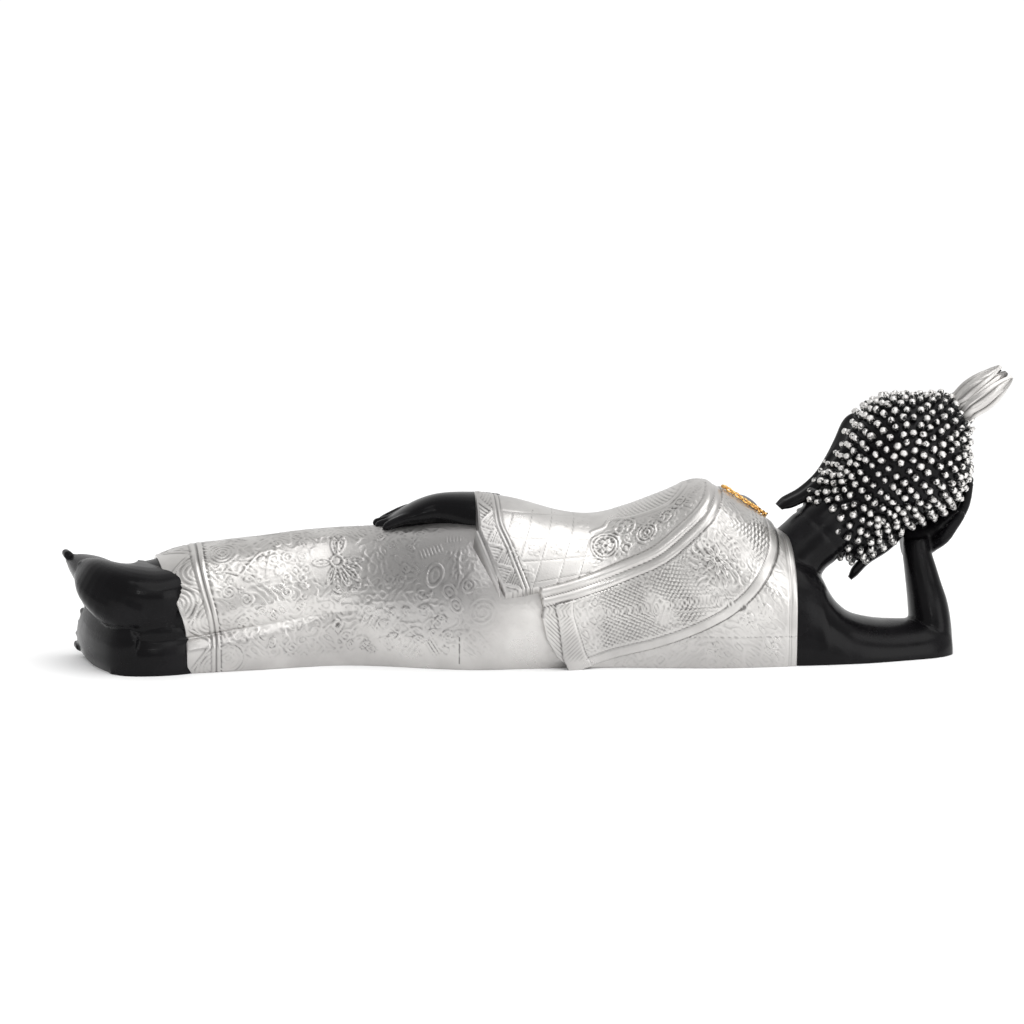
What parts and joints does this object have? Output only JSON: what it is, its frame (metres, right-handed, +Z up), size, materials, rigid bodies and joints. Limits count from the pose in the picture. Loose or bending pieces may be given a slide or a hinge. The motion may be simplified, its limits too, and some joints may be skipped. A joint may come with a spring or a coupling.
{
  "type": "reclining figure ornament",
  "caption": "Reclining figure with a long robe, its head resting on one hand, hair in rows of small curls, with a gold chain and a glass stone on the shoulder.",
  "frame": {"origin": "on the floor, under the middle of the bounding box", "axes": "+X towards the head and crown, +Y the way the figure faces, +Z up, its left side"},
  "size_m": [0.4228, 0.0844, 0.1268],
  "materials": {
    "silver_and_black_paint": "cast resin: antiqued silver paint on the robe and curl tips, gloss black on skin and hair",
    "gold_plate": "bright gold plate",
    "smoky_glass": "polished smoky glass, foil backed"
  },
  "bodies": {
    "root": {"cast_figure": "silver_and_black_paint", "gold_chain": "gold_plate", "shoulder_stone": "smoky_glass"}
  },
  "joints": []
}
